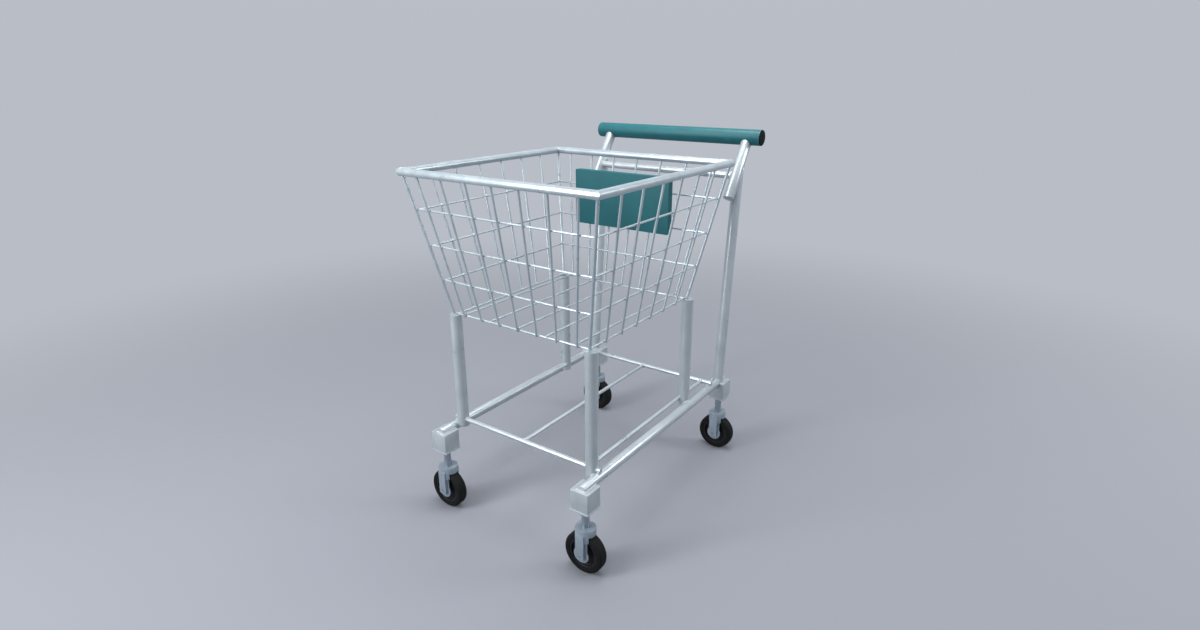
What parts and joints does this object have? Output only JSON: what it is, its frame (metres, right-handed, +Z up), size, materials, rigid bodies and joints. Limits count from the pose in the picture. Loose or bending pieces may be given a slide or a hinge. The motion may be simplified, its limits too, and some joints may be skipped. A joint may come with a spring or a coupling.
{
  "type": "shopping cart",
  "caption": "Welded steel shopping cart with a tapered wire basket, a lower shelf, a push handle, a board inside the rear wall and swivel casters.",
  "frame": {"origin": "on the floor, below the middle of the cart's overall length and width", "axes": "+Z up, +Y from the front of the cart to the push handle, +X to the left side of whoever pushes it"},
  "size_m": [0.5944, 0.8584, 0.9955],
  "materials": {
    "frame_steel": "satin pale blue-grey powder coat",
    "basket_steel": "satin pale blue-grey powder coat on wire",
    "block_casting": "cast steel, powder coated to match the frame",
    "fork": "satin blue-grey coating",
    "plated_steel": "zinc plated",
    "tyre": "black rubber",
    "wheel_centre": "moulded black nylon",
    "bush": "moulded black acetal",
    "grip": "moulded teal plastic, satin",
    "plug": "moulded black plastic",
    "board": "moulded teal plastic, matt"
  },
  "bodies": {
    "frame": {"left_rail": "frame_steel", "right_rail": "frame_steel", "front_left_leg": "frame_steel", "front_right_leg": "frame_steel", "rear_left_leg": "frame_steel", "rear_right_leg": "frame_steel", "front_crossbar": "frame_steel", "rear_crossbar": "frame_steel", "shelf_rods": "frame_steel", "left_upright": "frame_steel", "right_upright": "frame_steel", "left_handle_arm": "frame_steel", "right_handle_arm": "frame_steel", "link_bar": "frame_steel", "handle_tube": "frame_steel", "handle_grip": "grip", "handle_end_plugs": "plug", "front_left_block": "block_casting", "front_right_block": "block_casting", "rear_left_block": "block_casting", "rear_right_block": "block_casting", "base_plates": "frame_steel", "base_plate_screws": "plated_steel", "stem_bushes": "bush", "basket_rim": "basket_steel", "corner_wires": "basket_steel", "front_wires": "basket_steel", "rear_wires": "basket_steel", "left_wires": "basket_steel", "right_wires": "basket_steel", "bottom_ring": "basket_steel", "low_ring": "basket_steel", "middle_ring": "basket_steel", "high_ring": "basket_steel", "floor_rods": "basket_steel", "rear_board": "board", "board_brackets": "frame_steel", "board_screws": "plated_steel"},
    "front_left_caster": {"front_left_stem": "plated_steel", "front_left_fork": "fork", "front_left_axle": "plated_steel"},
    "front_left_roller": {"front_left_wheel": "wheel_centre", "front_left_tyre": "tyre"},
    "front_right_caster": {"front_right_stem": "plated_steel", "front_right_fork": "fork", "front_right_axle": "plated_steel"},
    "front_right_roller": {"front_right_wheel": "wheel_centre", "front_right_tyre": "tyre"},
    "rear_left_caster": {"rear_left_stem": "plated_steel", "rear_left_fork": "fork", "rear_left_axle": "plated_steel"},
    "rear_left_roller": {"rear_left_wheel": "wheel_centre", "rear_left_tyre": "tyre"},
    "rear_right_caster": {"rear_right_stem": "plated_steel", "rear_right_fork": "fork", "rear_right_axle": "plated_steel"},
    "rear_right_roller": {"rear_right_wheel": "wheel_centre", "rear_right_tyre": "tyre"}
  },
  "joints": [
    {"name": "front_left_swivel", "type": "hinge", "parent": "frame", "child": "front_left_caster", "pos_m": [0.236, -0.39993, 0.1255], "axis": [0, 0, 1], "continuous": true},
    {"name": "front_left_spin", "type": "hinge", "parent": "front_left_caster", "child": "front_left_roller", "pos_m": [0.236, -0.39993, 0.055], "axis": [0, 1, 0], "continuous": true},
    {"name": "front_right_swivel", "type": "hinge", "parent": "frame", "child": "front_right_caster", "pos_m": [-0.236, -0.39993, 0.1255], "axis": [0, 0, 1], "continuous": true},
    {"name": "front_right_spin", "type": "hinge", "parent": "front_right_caster", "child": "front_right_roller", "pos_m": [-0.236, -0.39993, 0.055], "axis": [0, 1, 0], "continuous": true},
    {"name": "rear_left_swivel", "type": "hinge", "parent": "frame", "child": "rear_left_caster", "pos_m": [0.236, 0.31907, 0.1255], "axis": [0, 0, 1], "continuous": true},
    {"name": "rear_left_spin", "type": "hinge", "parent": "rear_left_caster", "child": "rear_left_roller", "pos_m": [0.236, 0.31907, 0.055], "axis": [0, 1, 0], "continuous": true},
    {"name": "rear_right_swivel", "type": "hinge", "parent": "frame", "child": "rear_right_caster", "pos_m": [-0.236, 0.31907, 0.1255], "axis": [0, 0, 1], "continuous": true},
    {"name": "rear_right_spin", "type": "hinge", "parent": "rear_right_caster", "child": "rear_right_roller", "pos_m": [-0.236, 0.31907, 0.055], "axis": [0, 1, 0], "continuous": true}
  ]
}
